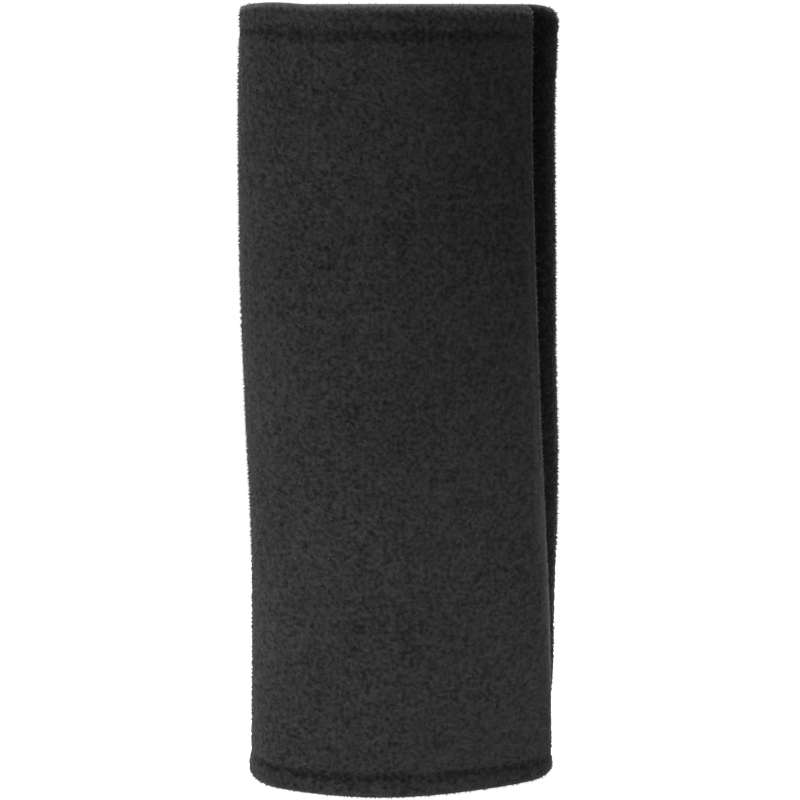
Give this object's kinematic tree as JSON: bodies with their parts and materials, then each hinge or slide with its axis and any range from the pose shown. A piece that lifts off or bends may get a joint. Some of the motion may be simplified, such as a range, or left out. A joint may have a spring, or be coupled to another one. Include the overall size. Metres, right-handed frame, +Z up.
{
  "type": "seat belt shoulder pad",
  "caption": "Soft padded sleeve for a seat belt: a plush panel rolled into an oval tube round the webbing and closed along one side by overlapping hook and loop tape.",
  "frame": {"origin": "middle of the bounding box at the bottom rim, on the surface that the pad stands on", "axes": "+Z up along the belt, -Y towards the wide front panel, +X towards the side where the flap's free edge overlaps the back wall"},
  "size_m": [0.0926, 0.0456, 0.23],
  "materials": {
    "plush": "short brushed pile, soft and matte",
    "foam": "open-cell polyurethane foam, matte",
    "lining": "smooth knitted polyester, matte",
    "hook_tape": "woven nylon tape with stiff hooks, slight shine",
    "loop_tape": "woven nylon tape with brushed loops, matte"
  },
  "bodies": {
    "root": {"outer_cover": "plush", "foam_pad": "foam", "inner_lining": "lining", "hook_tape": "hook_tape", "loop_tape": "loop_tape"}
  },
  "joints": []
}
